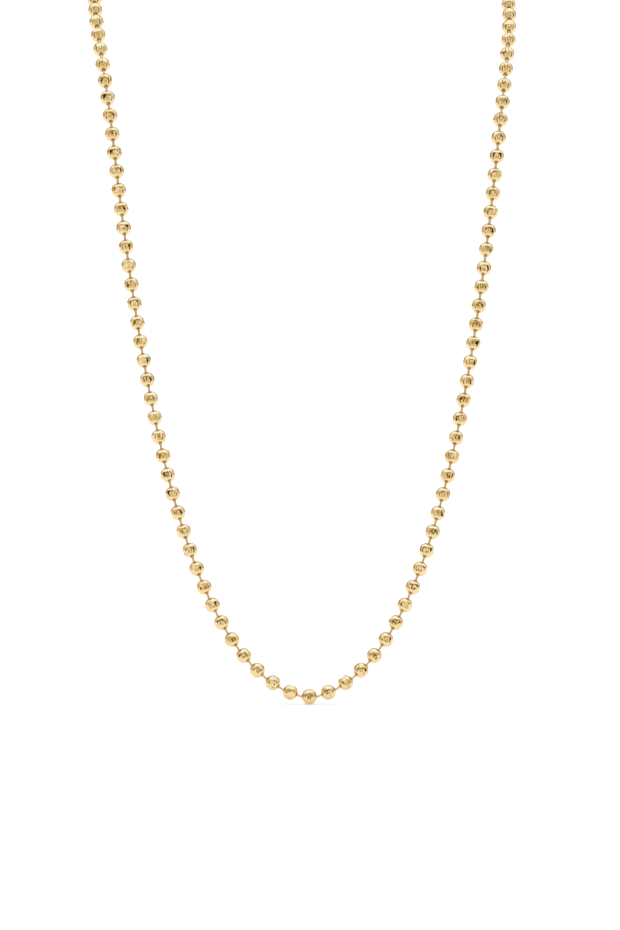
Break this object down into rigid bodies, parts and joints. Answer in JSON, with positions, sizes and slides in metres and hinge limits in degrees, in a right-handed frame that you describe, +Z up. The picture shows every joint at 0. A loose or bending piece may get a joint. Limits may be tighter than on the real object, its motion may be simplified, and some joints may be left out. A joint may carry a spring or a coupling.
{
  "type": "ball chain necklace",
  "caption": "Closed loop of hollow round beads with cut waist flats, joined by double-headed pins and a plain barrel clasp, hanging as worn with a narrow deep front drape.",
  "frame": {"origin": "the point at the middle of the clasp that rests against the nape", "axes": "+Z up as worn, -Y towards the front of the drape, X across the neck with +X on the right seen from the front"},
  "size_m": [0.0882, 0.0899, 0.1524],
  "materials": {
    "bead_gold": "mirror polished yellow gold with a waist band of narrow bright-cut flats",
    "pin_gold": "drawn yellow gold wire, plain polished",
    "clasp_gold": "plain polished yellow gold"
  },
  "bodies": {
    "root": {"beads": "bead_gold", "link_pins": "pin_gold", "clasp": "clasp_gold"}
  },
  "joints": []
}
